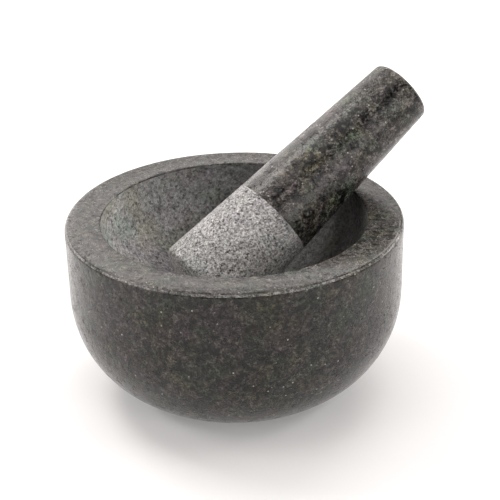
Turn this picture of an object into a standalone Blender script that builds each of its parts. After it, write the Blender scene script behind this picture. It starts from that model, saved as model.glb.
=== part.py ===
"""Granite mortar and pestle: a turned bowl and a tapered pestle leaning on its rim.

Metres, +Z up. The origin is the centre of the bowl's flat base.
"""
import math

import bpy
from mathutils import Matrix, Vector

# Bowl
RIM_RADIUS = 0.0750          # outside of the rim, and of the straight wall below it
RIM_HEIGHT = 0.0814          # top of the rim's two edge rounds; its face is crowned above
RIM_CROWN_RADIUS = 0.0620    # of the arc across the rim's face
BASE_RADIUS = 0.0298         # flat disc that the bowl stands on
BELLY_HEIGHT = 0.0482        # above this the outside is straight and upright
RIM_OUTER_ROUND = 0.0022
MOUTH_RADIUS = 0.0590        # inside of the cavity just below the rim
RIM_INNER_ROUND = 0.0012
CAVITY_DEPTH = 0.0481        # rim face down to the middle of the floor
CAVITY_FULLNESS = 2.2        # 2 is an ellipse; more makes steeper sides and a flatter floor

# Pestle, measured along its own axis from the middle of the grinding end
PESTLE_LENGTH = 0.1377
HEAD_RADIUS = 0.0224         # widest, beside the grinding end
TOP_RADIUS = 0.0154          # beside the domed top
GRINDING_END_SPHERE = 0.0420
GRINDING_END_ROUND = 0.0030
TOP_SPHERE = 0.0440
TOP_ROUND = 0.0022

# How the pestle leans in the bowl
REST_AZIMUTH = math.radians(28.4)      # where on the rim it lies, from +X towards +Y
PESTLE_HEADING = math.radians(31.0)    # direction that its top points, seen from above
PESTLE_RISE = math.radians(33.1)       # its slope above level
REST_DISTANCE = 0.0876                 # from the grinding end to the rim, along the axis
CLEARANCE = 0.0003                     # gap kept between the two stones

# Mesh resolution
BOWL_STEPS = 72
PESTLE_STEPS = 48
CURVE_POINTS = 13
ROUND_POINTS = 4

WELD_DISTANCE = 0.00001
SMOOTH_ANGLE = math.radians(35.0)


def arc(centre_r, centre_z, radius, start, end, count):
    """Points of a circle's arc in the (radius, height) plane, both ends included."""
    points = []
    for i in range(count + 1):
        angle = start + (end - start) * i / count
        point_r = centre_r + radius * math.cos(angle)
        point_z = centre_z + radius * math.sin(angle)
        points.append((point_r, point_z))
    return points


def cavity_profile():
    """The inside of the bowl, from the middle of the floor up to the rim's inner round."""
    rim_start = RIM_HEIGHT - RIM_INNER_ROUND
    depth = CAVITY_DEPTH - RIM_INNER_ROUND
    power = 2.0 / CAVITY_FULLNESS
    points = [(0.0, rim_start - depth)]
    for i in range(1, CURVE_POINTS):
        angle = math.pi / 2 * i / CURVE_POINTS
        point_r = MOUTH_RADIUS * math.sin(angle) ** power
        point_z = rim_start - depth * math.cos(angle) ** power
        points.append((point_r, point_z))
    return points


def belly_profile():
    """The outside below the straight wall: a quarter ellipse that ends level with the base."""
    points = []
    for i in range(CURVE_POINTS + 1):
        angle = math.pi / 2 * i / CURVE_POINTS
        point_r = BASE_RADIUS + (RIM_RADIUS - BASE_RADIUS) * math.cos(angle)
        point_z = BELLY_HEIGHT * (1.0 - math.sin(angle))
        points.append((point_r, point_z))
    return points


def crown_centre(inner_r, inner_z, outer_r, outer_z):
    """Centre of the arc across the rim's face, which touches both edge rounds from above."""
    to_inner = RIM_CROWN_RADIUS - RIM_INNER_ROUND
    to_outer = RIM_CROWN_RADIUS - RIM_OUTER_ROUND
    span = math.hypot(outer_r - inner_r, outer_z - inner_z)
    along = (span ** 2 + to_inner ** 2 - to_outer ** 2) / (2 * span)
    across = math.sqrt(to_inner ** 2 - along ** 2)
    unit_r, unit_z = (outer_r - inner_r) / span, (outer_z - inner_z) / span
    return inner_r + unit_r * along + unit_z * across, inner_z + unit_z * along - unit_r * across


def rim_profile():
    """The rim: inner round, crowned face and outer round, each running smoothly into the next."""
    inner_r, inner_z = MOUTH_RADIUS + RIM_INNER_ROUND, RIM_HEIGHT - RIM_INNER_ROUND
    outer_r, outer_z = RIM_RADIUS - RIM_OUTER_ROUND, RIM_HEIGHT - RIM_OUTER_ROUND
    centre_r, centre_z = crown_centre(inner_r, inner_z, outer_r, outer_z)
    start = math.atan2(inner_z - centre_z, inner_r - centre_r)
    end = math.atan2(outer_z - centre_z, outer_r - centre_r)
    inner_round = arc(inner_r, inner_z, RIM_INNER_ROUND, math.pi, start, ROUND_POINTS)
    face = arc(centre_r, centre_z, RIM_CROWN_RADIUS, start, end, ROUND_POINTS)
    outer_round = arc(outer_r, outer_z, RIM_OUTER_ROUND, end, 0.0, ROUND_POINTS)
    return inner_round + face[1:] + outer_round[1:]


def bowl_profile():
    """Half section of the bowl: up the cavity, over the rim, down the outside, to the base."""
    return cavity_profile() + rim_profile() + belly_profile() + [(0.0, 0.0)]


def end_round_centre(side_radius, sphere_radius, round_radius):
    """Centre of the edge round that touches both a cylinder's side and its spherical end."""
    centre_r = side_radius - round_radius
    below_sphere = math.sqrt((sphere_radius - round_radius) ** 2 - centre_r ** 2)
    return centre_r, sphere_radius - below_sphere


def spherical_end(side_radius, sphere_radius, round_radius):
    """Profile of a rounded end, from the middle of the end out to the side, height inwards."""
    centre_r, centre_z = end_round_centre(side_radius, sphere_radius, round_radius)
    spread = math.atan2(centre_r, sphere_radius - centre_z)
    face = arc(0.0, sphere_radius, sphere_radius, -math.pi / 2, spread - math.pi / 2, ROUND_POINTS)
    edge = arc(centre_r, centre_z, round_radius, spread - math.pi / 2, 0.0, ROUND_POINTS)
    face[0] = (0.0, 0.0)
    return face + edge[1:]


def pestle_profile():
    """Half section of the pestle, from the middle of its top down to the grinding end."""
    top = spherical_end(TOP_RADIUS, TOP_SPHERE, TOP_ROUND)
    grinding_end = spherical_end(HEAD_RADIUS, GRINDING_END_SPHERE, GRINDING_END_ROUND)
    top_down = [(point_r, PESTLE_LENGTH - point_z) for point_r, point_z in top]
    return top_down + grinding_end[::-1]


def pestle_radius(distance):
    """Radius of the straight taper at a distance from the grinding end."""
    _, taper_start = end_round_centre(HEAD_RADIUS, GRINDING_END_SPHERE, GRINDING_END_ROUND)
    _, top_inset = end_round_centre(TOP_RADIUS, TOP_SPHERE, TOP_ROUND)
    taper_end = PESTLE_LENGTH - top_inset
    share = (distance - taper_start) / (taper_end - taper_start)
    return HEAD_RADIUS + (TOP_RADIUS - HEAD_RADIUS) * share


def stone(name, colour, roughness):
    """A plain stone material."""
    material = bpy.data.materials.new(name)
    material.use_nodes = True
    shader = material.node_tree.nodes["Principled BSDF"]
    shader.inputs["Base Color"].default_value = (*colour, 1.0)
    shader.inputs["Roughness"].default_value = roughness
    shader.inputs["Metallic"].default_value = 0.0
    return material


def turned_piece(name, profile, steps, material, collection):
    """An object made by turning a half section once round its own Z axis."""
    mesh = bpy.data.meshes.new(name)
    vertices = [(point_r, 0.0, point_z) for point_r, point_z in profile]
    edges = [(i, i + 1) for i in range(len(profile) - 1)]
    mesh.from_pydata(vertices, edges, [])
    mesh.materials.append(material)
    piece = bpy.data.objects.new(name, mesh)
    collection.objects.link(piece)
    screw = piece.modifiers.new("turn", "SCREW")
    screw.axis = "Z"
    screw.angle = 2 * math.pi
    screw.steps = steps
    screw.render_steps = steps
    screw.use_merge_vertices = True
    screw.merge_threshold = WELD_DISTANCE
    screw.use_smooth_shade = True
    return piece


def leaning_pose():
    """World matrix of the pestle as it lies against the rim."""
    axis = Vector((
        math.cos(PESTLE_RISE) * math.cos(PESTLE_HEADING),
        math.cos(PESTLE_RISE) * math.sin(PESTLE_HEADING),
        math.sin(PESTLE_RISE),
    ))
    outward = Vector((math.cos(REST_AZIMUTH), math.sin(REST_AZIMUTH), 0.0))
    along_rim = Vector((-math.sin(REST_AZIMUTH), math.cos(REST_AZIMUTH), 0.0))
    away_from_rim = axis.cross(along_rim).normalized()
    if away_from_rim.z < 0:
        away_from_rim.negate()
    round_centre = outward * (MOUTH_RADIUS + RIM_INNER_ROUND)
    round_centre.z = RIM_HEIGHT - RIM_INNER_ROUND
    stand_off = pestle_radius(REST_DISTANCE) + CLEARANCE + RIM_INNER_ROUND
    grinding_end = round_centre + away_from_rim * stand_off - axis * REST_DISTANCE
    rotation = axis.to_track_quat("Z", "Y").to_matrix().to_4x4()
    return Matrix.Translation(grinding_end) @ rotation


def build():
    """Clear the scene and make both stones."""
    for leftover in list(bpy.data.objects):
        bpy.data.objects.remove(leftover, do_unlink=True)
    collection = bpy.data.collections.new("mortar_and_pestle")
    bpy.context.scene.collection.children.link(collection)

    bowl_stone = stone("bowl_granite", (0.075, 0.075, 0.068), 0.30)
    pestle_stone = stone("pestle_granite", (0.125, 0.122, 0.112), 0.35)
    turned_piece("mortar_bowl", bowl_profile(), BOWL_STEPS, bowl_stone, collection)
    pestle = turned_piece("pestle", pestle_profile(), PESTLE_STEPS, pestle_stone, collection)
    pestle.matrix_world = leaning_pose()


build()
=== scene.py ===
"""Looks of the granite mortar and pestle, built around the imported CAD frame."""
import math

import bpy
import numpy as np
from mathutils import Matrix, Vector, noise


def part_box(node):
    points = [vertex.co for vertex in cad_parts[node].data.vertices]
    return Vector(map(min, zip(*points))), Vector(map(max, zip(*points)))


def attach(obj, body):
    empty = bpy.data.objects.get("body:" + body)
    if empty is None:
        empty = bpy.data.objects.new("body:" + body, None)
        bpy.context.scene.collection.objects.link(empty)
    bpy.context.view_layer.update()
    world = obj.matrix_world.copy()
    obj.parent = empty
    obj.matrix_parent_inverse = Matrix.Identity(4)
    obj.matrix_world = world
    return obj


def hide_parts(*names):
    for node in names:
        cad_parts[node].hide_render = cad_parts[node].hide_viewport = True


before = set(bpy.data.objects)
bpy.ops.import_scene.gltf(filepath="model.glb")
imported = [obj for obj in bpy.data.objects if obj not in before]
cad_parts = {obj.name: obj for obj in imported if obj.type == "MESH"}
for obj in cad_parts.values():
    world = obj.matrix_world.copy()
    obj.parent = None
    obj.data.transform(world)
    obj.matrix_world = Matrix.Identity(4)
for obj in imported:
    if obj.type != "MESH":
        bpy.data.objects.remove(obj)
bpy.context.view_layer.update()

# ---------------------------------------------------------------- driving dimensions (metres)
bowl_low, bowl_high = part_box("mortar_bowl")
RIM_RADIUS = (bowl_high.x - bowl_low.x) / 2
RIM_HEIGHT = 0.0814             # top of the rim's two edge rounds; its face is crowned above
BASE_RADIUS = 0.0298
BELLY_HEIGHT = 0.0482
RIM_OUTER_ROUND = 0.0022
RIM_CROWN_RADIUS = 0.0620
MOUTH_RADIUS = 0.0590
RIM_INNER_ROUND = 0.0012
CAVITY_DEPTH = 0.0481
CAVITY_FULLNESS = 2.2

HEAD_RADIUS = 0.0224
TOP_RADIUS = 0.0154
GRINDING_END_SPHERE = 0.0420
GRINDING_END_ROUND = 0.0030
TOP_SPHERE = 0.0440
TOP_ROUND = 0.0022
ROUGH_HEAD_LENGTH = 0.0508      # the pale ground part, from the grinding end

BOWL_SEGMENTS = 380
PESTLE_SEGMENTS = 240
RING_SPACING = 0.0009           # between rings of points along the cavity and the belly
WALL_SPACING = RING_SPACING * 1.6
BASE_SPACING = RING_SPACING * 2.5
PESTLE_END_SPACING = RING_SPACING * 0.8
PESTLE_SIDE_SPACING = RING_SPACING * 0.7
CURVE_STEPS = 400               # fine points of a curve before it is spaced
INNER_ROUND_STEPS = 7
CROWN_STEPS = 18
OUTER_ROUND_STEPS = 12
PESTLE_FACE_STEPS = 60
PESTLE_ROUND_STEPS = 12

# Surface relief, metres: depths are of stone gone, sizes are of the features.
BOWL_WAVE_DEPTH, BOWL_WAVE_SIZE = 0.00004, 0.026
PESTLE_WAVE_DEPTH, PESTLE_WAVE_SIZE = 0.00005, 0.019
NICK_SIZE, NICK_CLUSTER_SIZE = 0.0021, 0.017
BOWL_CHIP_DEPTH, BOWL_EDGE_REACH = 0.00012, 0.0016
PESTLE_CHIP_DEPTH, TOP_EDGE_REACH, END_EDGE_REACH = 0.00035, 0.0022, 0.003
TOP_EDGE_BELOW, END_EDGE_ABOVE = 0.003, 0.007   # the pestle's chipped edges, from its two ends
CAVITY_PIT_DEPTH, CAVITY_PIT_SIZE = 0.00016, 0.0024
CAVITY_RING_DEPTH, CAVITY_RING_SIZE = 0.00006, 0.0032
CAVITY_ROUGH_DEPTH, CAVITY_ROUGH_SIZE = 0.00008, 0.0036
HEAD_CUT_DEPTH = 0.00012
HEAD_ROUGH_DEPTH, HEAD_ROUGH_SIZE = 0.00007, 0.0022
HEAD_PIT_DEPTH, HEAD_PIT_SIZE = 0.00018, 0.0017
HEAD_LINE_STEP = 0.0009         # length over which the ground head steps down from the polish
HEAD_LINE_RAGGED, HEAD_LINE_SIZE = 0.0005, 0.004


# ---------------------------------------------------------------- profiles in (radius, height)
def arc(centre_r, centre_z, radius, start, end, count):
    """Points of a circle's arc, both ends included."""
    angles = np.linspace(start, end, count + 1)
    return np.stack([centre_r + radius * np.cos(angles), centre_z + radius * np.sin(angles)], 1)


def spaced(points, spacing):
    """The same line with points about a spacing apart, its ends kept."""
    points = np.asarray(points, float)
    lengths = np.linalg.norm(np.diff(points, axis=0), axis=1)
    along = np.concatenate([[0.0], np.cumsum(lengths)])
    count = max(1, int(round(along[-1] / spacing)))
    wanted = np.linspace(0.0, along[-1], count + 1)
    columns = [np.interp(wanted, along, points[:, 0]), np.interp(wanted, along, points[:, 1])]
    return np.stack(columns, 1)


def cavity_line():
    """Inside of the bowl, from the middle of the floor to the rim's inner round."""
    top = RIM_HEIGHT - RIM_INNER_ROUND
    depth = CAVITY_DEPTH - RIM_INNER_ROUND
    power = 2.0 / CAVITY_FULLNESS
    angles = np.linspace(0.0, math.pi / 2, CURVE_STEPS)
    radii = MOUTH_RADIUS * np.sin(angles) ** power
    heights = top - depth * np.maximum(np.cos(angles), 0.0) ** power
    return spaced(np.stack([radii, heights], 1), RING_SPACING)


def belly_line():
    """Outside of the bowl below the straight wall, down to the base's edge."""
    angles = np.linspace(0.0, math.pi / 2, CURVE_STEPS)
    radii = BASE_RADIUS + (RIM_RADIUS - BASE_RADIUS) * np.cos(angles)
    heights = BELLY_HEIGHT * (1.0 - np.sin(angles))
    return spaced(np.stack([radii, heights], 1), RING_SPACING)


def joined(lines):
    """One line from several that follow on, without the repeated joints."""
    kept = [lines[0]]
    for line in lines[1:]:
        kept.append(line[1:])
    return np.concatenate(kept)


def crown_centre(inner_r, inner_z, outer_r, outer_z):
    """Centre of the arc across the rim's face, which touches both edge rounds from above."""
    to_inner = RIM_CROWN_RADIUS - RIM_INNER_ROUND
    to_outer = RIM_CROWN_RADIUS - RIM_OUTER_ROUND
    span = math.hypot(outer_r - inner_r, outer_z - inner_z)
    along = (span ** 2 + to_inner ** 2 - to_outer ** 2) / (2 * span)
    across = math.sqrt(to_inner ** 2 - along ** 2)
    unit_r, unit_z = (outer_r - inner_r) / span, (outer_z - inner_z) / span
    return inner_r + unit_r * along + unit_z * across, inner_z + unit_z * along - unit_r * across


def rim_line():
    """The rim: inner round, crowned face and outer round, each running smoothly into the next."""
    inner_r, inner_z = MOUTH_RADIUS + RIM_INNER_ROUND, RIM_HEIGHT - RIM_INNER_ROUND
    outer_r, outer_z = RIM_RADIUS - RIM_OUTER_ROUND, RIM_HEIGHT - RIM_OUTER_ROUND
    centre_r, centre_z = crown_centre(inner_r, inner_z, outer_r, outer_z)
    start = math.atan2(inner_z - centre_z, inner_r - centre_r)
    end = math.atan2(outer_z - centre_z, outer_r - centre_r)
    inner_round = arc(inner_r, inner_z, RIM_INNER_ROUND, math.pi, start, INNER_ROUND_STEPS)
    face = arc(centre_r, centre_z, RIM_CROWN_RADIUS, start, end, CROWN_STEPS)
    outer_round = arc(outer_r, outer_z, RIM_OUTER_ROUND, end, 0.0, OUTER_ROUND_STEPS)
    return joined([inner_round, face, outer_round])


def bowl_line():
    """Half section of the bowl in the order floor, cavity wall, rim, outside, base."""
    rim = rim_line()
    belly = belly_line()
    wall = spaced([rim[-1], belly[0]], WALL_SPACING)
    base = spaced([belly[-1], (0.0, 0.0)], BASE_SPACING)
    return joined([cavity_line(), rim, wall, belly, base])


def end_round_centre(side_radius, sphere_radius, round_radius):
    """Centre of the edge round that touches both the side and the spherical end of a rod."""
    centre_r = side_radius - round_radius
    below_sphere = math.sqrt((sphere_radius - round_radius) ** 2 - centre_r ** 2)
    return centre_r, sphere_radius - below_sphere


def spherical_end(side_radius, sphere_radius, round_radius):
    """A rounded end, from its middle out to the side, height inwards."""
    centre_r, centre_z = end_round_centre(side_radius, sphere_radius, round_radius)
    spread = math.atan2(centre_r, sphere_radius - centre_z)
    meet = spread - math.pi / 2
    face = arc(0.0, sphere_radius, sphere_radius, -math.pi / 2, meet, PESTLE_FACE_STEPS)
    edge = arc(centre_r, centre_z, round_radius, meet, 0.0, PESTLE_ROUND_STEPS)
    face[0] = (0.0, 0.0)
    return joined([spaced(face, PESTLE_END_SPACING), edge])


def pestle_line(length):
    """Half section of the pestle, from the middle of its top down to the grinding end."""
    top = spherical_end(TOP_RADIUS, TOP_SPHERE, TOP_ROUND)
    top[:, 1] = length - top[:, 1]
    grinding_end = spherical_end(HEAD_RADIUS, GRINDING_END_SPHERE, GRINDING_END_ROUND)[::-1]
    side = spaced([top[-1], grinding_end[0]], PESTLE_SIDE_SPACING)
    return joined([top, side, grinding_end])


# ---------------------------------------------------------------- surface relief
def noise_at(points, size, seed=0.0, octaves=1):
    """Smooth noise of about -1 to 1 at each point, with features of a size in metres."""
    offset = Vector((seed, seed * 1.7, -seed))
    if octaves == 1:
        values = [noise.noise(Vector(p) / size + offset) for p in points]
    else:
        values = [noise.fractal(Vector(p) / size + offset, 1.0, 2.0, octaves) for p in points]
    return np.array(values)


def smooth_step(low, high, values):
    """0 below low, 1 above high, and a smooth curve between."""
    share = np.clip((values - low) / (high - low), 0.0, 1.0)
    return share * share * (3.0 - 2.0 * share)


def near(distance, reach):
    """1 on an edge, fading out over the reach."""
    return np.exp(-(distance / reach) ** 2)


def chips(points, seed):
    """Small nicks in clusters, 0 to 1."""
    nick = smooth_step(0.30, 0.62, noise_at(points, NICK_SIZE, seed))
    cluster = smooth_step(-0.15, 0.35, noise_at(points, NICK_CLUSTER_SIZE, seed + 4.0))
    return nick * cluster


def bowl_wear(points, radii, heights, in_cavity):
    """Depth of stone gone at each point of the bowl: polish waves, nicked edges, tool marks."""
    depth = BOWL_WAVE_DEPTH * (1.0 + noise_at(points, BOWL_WAVE_SIZE, seed=3.0))
    from_top = RIM_HEIGHT - heights
    outer_edge = np.hypot(RIM_RADIUS - radii, from_top)
    inner_edge = np.hypot(radii - MOUTH_RADIUS, from_top)
    edge = near(outer_edge, BOWL_EDGE_REACH) + near(inner_edge, BOWL_EDGE_REACH)
    depth += BOWL_CHIP_DEPTH * edge * chips(points, seed=11.0)
    ground = in_cavity & (from_top > RIM_INNER_ROUND)
    inside = points[ground]
    pits = smooth_step(0.15, 0.75, noise_at(inside, CAVITY_PIT_SIZE, seed=31.0))
    rings = noise_at(inside * (0.0, 0.0, 1.0), CAVITY_RING_SIZE, seed=41.0)
    rough = noise_at(inside, CAVITY_ROUGH_SIZE, seed=51.0, octaves=3)
    depth[ground] += (CAVITY_PIT_DEPTH * pits + CAVITY_RING_DEPTH * (1.0 + rings)
                      + CAVITY_ROUGH_DEPTH * (1.0 + rough))
    return depth


def pestle_wear(points, radii, heights, length):
    """Depth of stone gone at each point of the pestle: waves, the ground head, nicked edges."""
    depth = PESTLE_WAVE_DEPTH * (1.0 + noise_at(points, PESTLE_WAVE_SIZE, seed=5.0))
    ragged = HEAD_LINE_RAGGED * noise_at(points, HEAD_LINE_SIZE, seed=9.0)
    head = smooth_step(0.0, HEAD_LINE_STEP, ROUGH_HEAD_LENGTH + ragged - heights)
    rough = noise_at(points, HEAD_ROUGH_SIZE, seed=15.0, octaves=3)
    pits = smooth_step(0.2, 0.8, noise_at(points, HEAD_PIT_SIZE, seed=25.0))
    depth += head * (HEAD_CUT_DEPTH + HEAD_ROUGH_DEPTH * rough + HEAD_PIT_DEPTH * pits)
    top_edge = np.hypot(radii - TOP_RADIUS, heights - length + TOP_EDGE_BELOW)
    end_edge = np.hypot(radii - HEAD_RADIUS, heights - END_EDGE_ABOVE)
    edge = near(top_edge, TOP_EDGE_REACH) + near(end_edge, END_EDGE_REACH)
    return depth + PESTLE_CHIP_DEPTH * edge * chips(points, seed=35.0)


# ---------------------------------------------------------------- meshes
def turned_mesh(name, line, segments, wear):
    """A closed turned stone. The line starts and ends on the axis; wear gives each point's loss."""
    tangents = np.gradient(line, axis=0)
    tangents /= np.linalg.norm(tangents, axis=1)[:, None]
    angles = np.arange(segments) * 2 * math.pi / segments
    rings = line[1:-1]
    radii = np.repeat(rings[:, 0], segments)
    heights = np.repeat(rings[:, 1], segments)
    around = np.tile(np.stack([np.cos(angles), np.sin(angles)], 1), (len(rings), 1))
    outward = np.repeat(np.stack([-tangents[1:-1, 1], tangents[1:-1, 0]], 1), segments, axis=0)
    points = np.column_stack([radii[:, None] * around, heights])
    normals = np.column_stack([outward[:, :1] * around, outward[:, 1]])
    ring_index = np.repeat(np.arange(len(rings)), segments)
    points = points - normals * wear(points, radii, heights, ring_index)[:, None]

    def pole(ring):
        """The point on the axis that closes the stone beyond its first or last ring."""
        return (0.0, 0.0, points[ring * segments:(ring + 1) * segments, 2].mean())

    first_pole, last_pole = len(points), len(points) + 1
    last_ring = (len(rings) - 1) * segments
    faces = []
    for j in range(segments):
        following = (j + 1) % segments
        faces.append((first_pole, j, following))
        for upper in range(0, last_ring, segments):
            lower = upper + segments
            faces.append((upper + j, lower + j, lower + following, upper + following))
        faces.append((last_ring + j, last_pole, last_ring + following))
    mesh = bpy.data.meshes.new(name)
    mesh.from_pydata(points.tolist() + [pole(0), pole(len(rings) - 1)], [], faces)
    mesh.shade_smooth()
    piece = bpy.data.objects.new(name, mesh)
    bpy.context.scene.collection.objects.link(piece)
    return piece


def finishes(piece, line, splits, materials):
    """One material after another along the line; each split is a point number of the line."""
    for material in materials:
        piece.data.materials.append(material)
    row_of_face = np.arange(len(piece.data.polygons)) % (len(line) - 1)
    index = np.searchsorted(splits, row_of_face, side="right")
    piece.data.polygons.foreach_set("material_index", index.astype(np.int32))
    piece.data.update()


def pestle_pose():
    """World matrix of the pestle and its length, from the CAD solid's two points furthest apart."""
    corners = np.array([v.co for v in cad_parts["pestle"].data.vertices])
    gaps = np.linalg.norm(corners[:, None] - corners[None], axis=2)
    one, other = np.unravel_index(gaps.argmax(), gaps.shape)
    low, high = sorted([Vector(corners[one]), Vector(corners[other])], key=lambda p: p.z)
    axis = (high - low).normalized()
    rotation = axis.to_track_quat("Z", "Y").to_matrix().to_4x4()
    return Matrix.Translation(low) @ rotation, (high - low).length


# ---------------------------------------------------------------- stone materials
GREEN_TINT = (0.82, 1.01, 0.85)     # multiply the stone's colour
PURPLE_TINT = (1.08, 0.94, 1.03)
BROWN_TINT = (1.10, 1.07, 0.80)
PLAIN_TINT = (1.03, 1.0, 0.97)
CAVITY_TINT = (0.97, 1.0, 1.02, 1.0)
FLECK_COLOUR = (0.36, 0.35, 0.31, 1.0)
PIT_SHADE_AND_JOINT_COLOUR = (0.003, 0.003, 0.003, 1.0)
DARK_CRYSTAL_COLOUR = (0.03, 0.03, 0.03, 1.0)
POLISHED_TINT_SIZE = 0.019          # metres, as are the sizes below
GROUND_TINT_SIZE = 0.016
GROUND_PATCH_SIZE = 0.007
GROUND_RELIEF = 0.00018
# Size and reach of the waviness along the edge of the cavity's painted shade.
SHADE_EDGE_SIZE, SHADE_EDGE_SHIFT = 0.020, 0.012
POLISHED_IOR, GROUND_IOR = 1.38, 1.50
HAZE_ROUGHNESS = 0.35


class Stone:
    """Builds one stone material. Every texture uses object coordinates; sizes are in metres."""

    def __init__(self, name):
        self.material = bpy.data.materials.new(name)
        self.material.use_nodes = True
        self.tree = self.material.node_tree
        self.tree.nodes.clear()
        self.place = self.add("ShaderNodeTexCoord").outputs["Object"]

    def add(self, kind, inputs=None, **settings):
        """A new node with its settings; an input is linked if it is a socket, and set if not."""
        node = self.tree.nodes.new(kind)
        for key, value in settings.items():
            setattr(node, key, value)
        for key, value in (inputs or {}).items():
            if isinstance(value, bpy.types.NodeSocket):
                self.tree.links.new(value, node.inputs[key])
            else:
                node.inputs[key].default_value = value
        return node

    def noise(self, size, detail=2.0, roughness=0.5):
        """A noise texture; its outputs are Fac and Color."""
        inputs = {"Vector": self.place, "Scale": 1.0 / size, "Detail": detail,
                  "Roughness": roughness}
        return self.add("ShaderNodeTexNoise", inputs)

    def jostled(self, size, amount):
        """Coordinates pushed about, so that grains have ragged outlines."""
        push = self.noise(size, 2.0).outputs["Color"]
        centred = self.add("ShaderNodeVectorMath", {0: push, 1: (0.5, 0.5, 0.5)},
                           operation="SUBTRACT").outputs[0]
        scaled = self.add("ShaderNodeVectorMath", {0: centred, "Scale": amount},
                          operation="SCALE").outputs[0]
        return self.add("ShaderNodeVectorMath", {0: self.place, 1: scaled}).outputs[0]

    def grains(self, size, place):
        """A random number from 0 to 1 for each crystal."""
        cells = self.add("ShaderNodeTexVoronoi", {"Vector": place, "Scale": 1.0 / size})
        return self.add("ShaderNodeSeparateColor", {"Color": cells.outputs["Color"]}).outputs[0]

    def pits(self, size, share, place):
        """1 in the middle of a few cells, 0 elsewhere."""
        cells = self.add("ShaderNodeTexVoronoi", {"Vector": place, "Scale": 1.0 / size})
        pick = self.add("ShaderNodeSeparateColor", {"Color": cells.outputs["Color"]}).outputs[1]
        chosen = self.maths("LESS_THAN", pick, share)
        middle = self.levels(cells.outputs["Distance"], 0.50, 0.18)
        return self.maths("MULTIPLY", chosen, middle)

    def cracks(self, size, place):
        """1 along the dark joints between a few crystals, 0 elsewhere."""
        cells = self.add("ShaderNodeTexVoronoi", {"Vector": place, "Scale": 1.0 / size},
                         feature="DISTANCE_TO_EDGE")
        joint = self.levels(cells.outputs["Distance"], 0.09, 0.02)
        area = self.levels(self.noise(size * 2.2, 3.0, 0.6).outputs["Fac"], 0.54, 0.62)
        return self.maths("MULTIPLY", joint, area)

    def maths(self, operation, one, other):
        """One sum on two numbers or sockets."""
        return self.add("ShaderNodeMath", {0: one, 1: other}, operation=operation).outputs[0]

    def levels(self, value, low, high, new_low=0.0, new_high=1.0):
        """The value mapped from low..high to new_low..new_high, and clamped."""
        inputs = {0: value, 1: low, 2: high, 3: new_low, 4: new_high}
        return self.add("ShaderNodeMapRange", inputs).outputs[0]

    def ramp(self, value, stops):
        """A colour ramp; stops are (position, colour or grey)."""
        node = self.add("ShaderNodeValToRGB", {"Fac": value})
        elements = node.color_ramp.elements
        while len(elements) < len(stops):
            elements.new(0.5)
        for element, (position, colour) in zip(elements, stops):
            element.position = position
            rgb = colour if isinstance(colour, tuple) else (colour,) * 3
            element.color = (*rgb, 1.0)
        return node.outputs[0]

    def blend(self, mode, factor, one, other):
        """Two colours mixed; factor, one and other are sockets or constants."""
        node = self.add("ShaderNodeMix", data_type="RGBA", blend_type=mode)
        for index, value in ((0, factor), (6, one), (7, other)):
            if isinstance(value, bpy.types.NodeSocket):
                self.tree.links.new(value, node.inputs[index])
            else:
                node.inputs[index].default_value = value
        return node.outputs[2]

    def bump(self, height, distance, normal=None):
        """A normal bent by the height, which is distance metres for 1, over another normal."""
        inputs = {"Height": height, "Distance": distance, "Strength": 1.0}
        if normal:
            inputs["Normal"] = normal
        return self.add("ShaderNodeBump", inputs).outputs[0]

    def finish(self, colour, roughness, normal, ior, haze=0.0):
        """The finished material; haze is the weight of a faint pale sheen."""
        shader = self.add("ShaderNodeBsdfPrincipled", {
            "Base Color": colour, "Roughness": roughness, "Normal": normal, "IOR": ior,
            "Sheen Weight": haze, "Sheen Roughness": HAZE_ROUGHNESS,
        })
        self.add("ShaderNodeOutputMaterial", {"Surface": shader.outputs[0]})
        return self.material


def drift(stone, size, stops):
    """A slow change of colour over the stone, to multiply by."""
    return stone.ramp(stone.noise(size, 3.0, 0.55).outputs["Fac"], stops)


def tinted(stone, colour, size, strength):
    """Patches of green, purple and brown, as the minerals change through the block."""
    hue = drift(stone, size, [(0.34, GREEN_TINT), (0.46, PLAIN_TINT), (0.54, PLAIN_TINT),
                              (0.66, PURPLE_TINT)])
    rust = drift(stone, size * 1.3, [(0.50, PLAIN_TINT), (0.64, BROWN_TINT)])
    colour = stone.blend("MULTIPLY", strength, colour, hue)
    return stone.blend("MULTIPLY", strength, colour, rust)


def crystals(stone, grain_size, ragged, clusters):
    """Grain pattern from 0 to 1: small crystals, finer ones between them, and looser clusters.

    clusters is their share of the pattern.
    """
    fine = stone.grains(grain_size, ragged)
    tiny = stone.levels(stone.noise(grain_size * 0.6, 1.0).outputs["Fac"], 0.3, 0.7)
    cluster = stone.levels(stone.noise(grain_size * 2.6, 2.0, 0.6).outputs["Fac"], 0.33, 0.67)
    small = stone.blend("MIX", 0.45, fine, tiny)
    return stone.blend("MIX", clusters, small, cluster)


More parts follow.
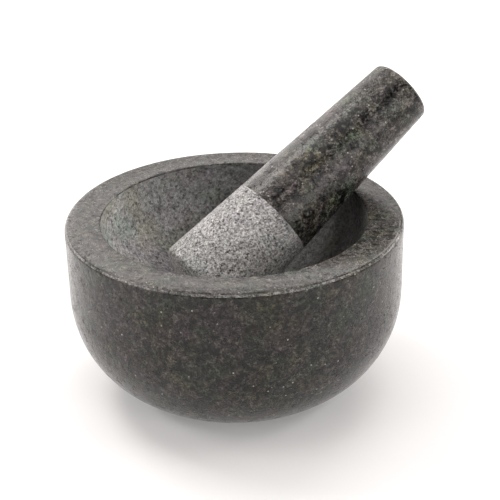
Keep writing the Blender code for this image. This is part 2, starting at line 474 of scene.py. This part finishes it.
def polished_granite(name, grain_size, blotch_size, mean, contrast, dull, shiny, relief, sparkle,
                     tint=1.0, haze=0.0):
    """Dark polished stone: light grains on near-black, tinted patches, bright flecks, pits.

    mean is the middle grey. contrast is how far the patches go from it. dull and shiny are the
    roughness of the lightest and darkest grains. relief is the height of the grain and waves left
    by the polishing, in metres. sparkle is the share of bright flecks. tint is the strength of
    the patches of colour, and haze that of a faint pale sheen.
    """
    stone = Stone(name)
    ragged = stone.jostled(grain_size * 1.6, grain_size * 1.5)
    grain = crystals(stone, grain_size, ragged, 0.26)
    greys = [mean * step for step in (0.25, 0.75, 1.6, 2.8)]
    minerals = stone.ramp(grain, list(zip((0.28, 0.43, 0.58, 0.76), greys)))
    patches = stone.noise(blotch_size, 5.0, 0.70).outputs["Fac"]
    shade = stone.levels(patches, 0.39, 0.63, 1.0 - contrast, 1.0 + contrast)
    colour = stone.blend("MULTIPLY", 1.0, minerals, shade)
    colour = tinted(stone, colour, blotch_size * 2.2, tint)
    colour = tinted(stone, colour, POLISHED_TINT_SIZE, tint * 0.7)
    flecks = stone.pits(grain_size * 1.2, sparkle, stone.place)
    colour = stone.blend("MIX", flecks, colour, FLECK_COLOUR)
    # Pits are painted near-black as painted shade in their hollows; the cracks are the stone's own
    # dark joints.
    pits = stone.pits(grain_size * 1.6, 0.040, ragged)
    shaded_pits_and_joints = stone.maths("MAXIMUM", pits, stone.cracks(grain_size * 2.4, ragged))
    colour = stone.blend("MIX", shaded_pits_and_joints, colour, PIT_SHADE_AND_JOINT_COLOUR)
    wear = stone.levels(patches, 0.35, 0.65, -0.05, 0.08)
    polish = stone.maths("ADD", stone.levels(grain, 0.2, 0.8, shiny, dull), wear)
    roughness = stone.maths("ADD", polish, stone.maths("MULTIPLY", shaded_pits_and_joints, 0.4))
    waves = stone.noise(blotch_size * 0.6, 3.0, 0.6).outputs["Fac"]
    slow = stone.bump(waves, relief)
    surface = stone.maths("SUBTRACT", stone.maths("MULTIPLY", grain, 0.4), shaded_pits_and_joints)
    normal = stone.bump(surface, relief, slow)
    return stone.finish(colour, roughness, normal, POLISHED_IOR, haze)


def ground_granite(name, grain_size, mean, contrast, speckle, tint, painted_shade_span=None):
    """Unpolished stone, grey where the crystals are crushed, with dark crystals between.

    speckle is the share of dark crystals and tint the strength of the patches of colour. The last
    argument, if given, is (x of full colour, x of full painted shade, share of the colour left
    there): painted shade darkening the cavity towards its right, where the pestle's shade falls.
    """
    greys = [mean * (1.0 + contrast * step) for step in (-0.70, -0.15, 0.15, 0.90)]
    stone = Stone(name)
    ragged = stone.jostled(grain_size * 1.5, grain_size * 1.2)
    grain = crystals(stone, grain_size, ragged, 0.28)
    minerals = stone.ramp(grain, list(zip((0.22, 0.42, 0.60, 0.82), greys)))
    patches = stone.noise(GROUND_PATCH_SIZE, 4.0, 0.6).outputs["Fac"]
    shade = stone.levels(patches, 0.30, 0.70, 0.84, 1.14)
    colour = stone.blend("MULTIPLY", 1.0, minerals, shade)
    colour = tinted(stone, colour, GROUND_TINT_SIZE, tint)
    if painted_shade_span:
        full_colour_x, full_shade_x, left = painted_shade_span
        colour = stone.blend("MULTIPLY", 1.0, colour, CAVITY_TINT)
        # Painted shade: the colour is darkened towards +X, the right of the cavity, where the
        # pestle's shade falls.
        across = stone.add("ShaderNodeSeparateXYZ", {0: stone.place}).outputs[0]
        drifts = stone.noise(SHADE_EDGE_SIZE, 2.0).outputs["Fac"]
        uneven = stone.levels(drifts, 0.0, 1.0, -SHADE_EDGE_SHIFT, SHADE_EDGE_SHIFT)
        painted_shade_factor = stone.levels(stone.maths("ADD", across, uneven), full_colour_x, full_shade_x, 1.0, left)
        colour = stone.blend("MULTIPLY", 1.0, colour, painted_shade_factor)
    spots = stone.pits(grain_size * 2.2, speckle, ragged)
    darkened = stone.maths("MULTIPLY", spots, 0.7)
    colour = stone.blend("MIX", darkened, colour, DARK_CRYSTAL_COLOUR)
    relief = stone.maths("SUBTRACT", grain, spots)
    normal = stone.bump(relief, GROUND_RELIEF)
    roughness = stone.levels(grain, 0.2, 0.8, 0.88, 0.72)
    return stone.finish(colour, roughness, normal, GROUND_IOR)


# ---------------------------------------------------------------- the two stones
EDGE_TOP_TURN = math.radians(62)    # the lighter band on the rim's outer round, a painted highlight, from its side up
EDGE_LOW_TURN = math.radians(28)
MOUTH_ROWS = 2                      # rows of the inner round that are ground like the cavity

bowl_points = bowl_line()
cavity_rows = len(cavity_line()) - 1


def bowl_loss(points, radii, heights, ring_index):
    """Wear of the bowl, whose cavity is its first rings."""
    return bowl_wear(points, radii, heights, ring_index < cavity_rows)


def first_row_below(turn):
    """Number of the first point past an angle on the rim's outer round."""
    centre_r, centre_z = RIM_RADIUS - RIM_OUTER_ROUND, RIM_HEIGHT - RIM_OUTER_ROUND
    turns = np.arctan2(bowl_points[:, 1] - centre_z, bowl_points[:, 0] - centre_r)
    on_round = bowl_points[:, 0] > centre_r
    return int(np.argmax(on_round & (turns < turn)))


bowl = turned_mesh("bowl_stone", bowl_points, BOWL_SEGMENTS, bowl_loss)
# The cavity's colour is darkened towards its right side as painted shade under the pestle.
bowl_ground = ground_granite(
    "bowl_ground", grain_size=0.0009, mean=0.350, contrast=0.85, speckle=0.24, tint=0.50,
    painted_shade_span=(-0.055, 0.022, 0.27))
bowl_honed = polished_granite(
    "bowl_honed", grain_size=0.0006, blotch_size=0.0034, mean=0.034, contrast=0.85,
    dull=0.26, shiny=0.12, relief=0.00010, sparkle=0.012, tint=0.8)
# A lighter band along the rim's outer round: a painted highlight where the round catches the light.
bowl_edge_highlight = polished_granite(
    "bowl_edge_highlight", grain_size=0.0005, blotch_size=0.0060, mean=0.115, contrast=0.35,
    dull=0.20, shiny=0.12, relief=0.00002, sparkle=0.001, tint=0.3)
bowl_polish = polished_granite(
    "bowl_polished", grain_size=0.0008, blotch_size=0.0036, mean=0.0185, contrast=0.75,
    dull=0.24, shiny=0.09, relief=0.00020, sparkle=0.008, tint=1.2, haze=0.14)
bowl_splits = (cavity_rows + MOUTH_ROWS, first_row_below(EDGE_TOP_TURN),
               first_row_below(EDGE_LOW_TURN))
finishes(bowl, bowl_points, bowl_splits, (bowl_ground, bowl_honed, bowl_edge_highlight, bowl_polish))
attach(bowl, "mortar")
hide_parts("mortar_bowl")

pestle_matrix, pestle_length = pestle_pose()
pestle_points = pestle_line(pestle_length)


def pestle_loss(points, radii, heights, ring_index):
    """Wear of the pestle, which doesn't depend on the ring."""
    return pestle_wear(points, radii, heights, pestle_length)


pestle = turned_mesh("pestle_stone", pestle_points, PESTLE_SEGMENTS, pestle_loss)
pestle.data.transform(pestle_matrix)
handle_rows = int(np.argmax(pestle_points[:, 1] < ROUGH_HEAD_LENGTH))
handle_polish = polished_granite(
    "pestle_polished", grain_size=0.0009, blotch_size=0.0042, mean=0.034, contrast=1.00,
    dull=0.28, shiny=0.10, relief=0.00018, sparkle=0.016, tint=0.85)
head_ground = ground_granite(
    "pestle_ground", grain_size=0.00050, mean=0.305, contrast=1.50, speckle=0.05, tint=0.14)
finishes(pestle, pestle_points, (handle_rows,), (handle_polish, head_ground))
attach(pestle, "pestle")
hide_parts("pestle")


# ---------------------------------------------------------------- floor, light and camera
LIGHTS_AIM = Vector((0.0, 0.0, 0.06))
LIGHT_DISTANCE = 1.3            # metres from there to every soft box
WARM_WHITE = (1.0, 0.955, 0.935)
FLOOR_SIDES = 72


def plain_material(name, grey, roughness, glow):
    """A plain grey surface with a little light of its own."""
    material = bpy.data.materials.new(name)
    material.use_nodes = True
    shader = material.node_tree.nodes["Principled BSDF"]
    shader.inputs["Base Color"].default_value = (grey, grey, grey, 1.0)
    shader.inputs["Roughness"].default_value = roughness
    shader.inputs["Emission Color"].default_value = (1.0, 1.0, 1.0, 1.0)
    shader.inputs["Emission Strength"].default_value = glow
    return material


def studio_floor(radius, grey, glow):
    """A round floor, small enough that its unlit far part never shows behind the stones."""
    angles = [math.tau * step / FLOOR_SIDES for step in range(FLOOR_SIDES)]
    corners = [(radius * math.cos(a), radius * math.sin(a), 0.0) for a in angles]
    mesh = bpy.data.meshes.new("studio_floor")
    mesh.from_pydata(corners, [], [range(FLOOR_SIDES)])
    mesh.materials.append(plain_material("studio_white", grey, roughness=0.9, glow=glow))
    floor = bpy.data.objects.new("studio_floor", mesh)
    bpy.context.scene.collection.objects.link(floor)


def soft_light(name, azimuth, elevation, width, height, radiance):
    """A soft box facing the bowl. Azimuth 0 is along +X and 90 along +Y, behind the bowl."""
    data = bpy.data.lights.new(name, "AREA")
    data.shape = "RECTANGLE"
    data.size = width
    data.size_y = height
    data.energy = radiance * math.pi * width * height
    data.color = WARM_WHITE
    turn, lift = math.radians(azimuth), math.radians(elevation)
    level = math.cos(lift)
    towards = Vector((math.cos(turn) * level, math.sin(turn) * level, math.sin(lift)))
    light = bpy.data.objects.new(name, data)
    facing = (-towards).to_track_quat("-Z", "Y").to_matrix().to_4x4()
    light.matrix_world = Matrix.Translation(LIGHTS_AIM + towards * LIGHT_DISTANCE) @ facing
    bpy.context.scene.collection.objects.link(light)


def studio_air(horizon, above, height):
    """Light from all round, brighter near the horizon; height is the sine of where it fades out."""
    world = bpy.data.worlds.new("studio_air")
    world.use_nodes = True
    tree = world.node_tree
    direction = tree.nodes.new("ShaderNodeTexCoord").outputs["Generated"]
    split = tree.nodes.new("ShaderNodeSeparateXYZ")
    tree.links.new(direction, split.inputs[0])
    fade = tree.nodes.new("ShaderNodeMapRange")
    for index, value in enumerate((0.0, height, horizon, above), 1):
        fade.inputs[index].default_value = value
    tree.links.new(split.outputs["Z"], fade.inputs[0])
    tree.links.new(fade.outputs[0], tree.nodes["Background"].inputs["Strength"])
    tree.nodes["Background"].inputs["Color"].default_value = (*WARM_WHITE, 1.0)
    return world


def photo_camera(aim, distance, elevation, roll, lens):
    """A camera in front of the bowl, looking down at it; angles in radians, lens in millimetres."""
    forward = Vector((0.0, math.cos(elevation), -math.sin(elevation)))
    right = Vector((1.0, 0.0, 0.0))
    up = right.cross(forward)
    across = right * math.cos(roll) + up * math.sin(roll)
    above = up * math.cos(roll) - right * math.sin(roll)
    turn = Matrix((across, above, -forward)).transposed().to_4x4()
    data = bpy.data.cameras.new("camera")
    data.lens = lens
    data.clip_start = 0.01
    camera = bpy.data.objects.new("camera", data)
    camera.matrix_world = Matrix.Translation(Vector(aim) - forward * distance) @ turn
    bpy.context.scene.collection.objects.link(camera)
    bpy.context.scene.camera = camera


studio_floor(radius=1.25, grey=0.80, glow=0.15)
# Most of these lights came from a brightness fit made by another program. Several were then
# changed, and the two edge lights were placed one by one.
soft_light("overhead", 0, 90, 0.90, 0.90, 2.1)
soft_light("high_left", 148, 57, 0.46, 0.40, 11.5)
soft_light("high_back", 60, 57, 0.60, 0.50, 1.6)
soft_light("high_right", 15, 57, 0.60, 0.50, 0.8)
soft_light("high_front", 262, 50, 0.60, 0.50, 0.5)
soft_light("back", 90, 34, 0.60, 0.50, 2.9)
soft_light("back_left", 120, 34, 0.60, 0.50, 3.1)
soft_light("back_right", 60, 34, 0.60, 0.50, 5.0)
soft_light("front_right", 300, 34, 0.60, 0.50, 2.6)
soft_light("edge_left", 196, 40, 0.80, 0.12, 13.0)
soft_light("edge_right", 340, 44, 0.60, 0.12, 13.0)
soft_light("low_back", 90, 12, 0.70, 0.45, 0.6)
soft_light("low_back_left", 120, 12, 0.70, 0.45, 2.6)
soft_light("low_back_right", 30, 12, 0.70, 0.45, 3.9)
soft_light("low_left", 150, 12, 0.70, 0.45, 2.0)
soft_light("low_front_left", 210, 12, 0.70, 0.45, 4.5)
soft_light("low_front_right", 317, 15, 0.60, 0.36, 4.2)
bpy.context.scene.world = studio_air(horizon=0.80, above=0.04, height=0.30)
bpy.context.scene.view_settings.view_transform = "Standard"
# These values came from an outline fit made by another program, scaled to the stones' real size.
photo_camera(aim=(0.00668, 0.0, 0.06373), distance=0.57285, elevation=0.4626, roll=-0.0216,
             lens=91.75)
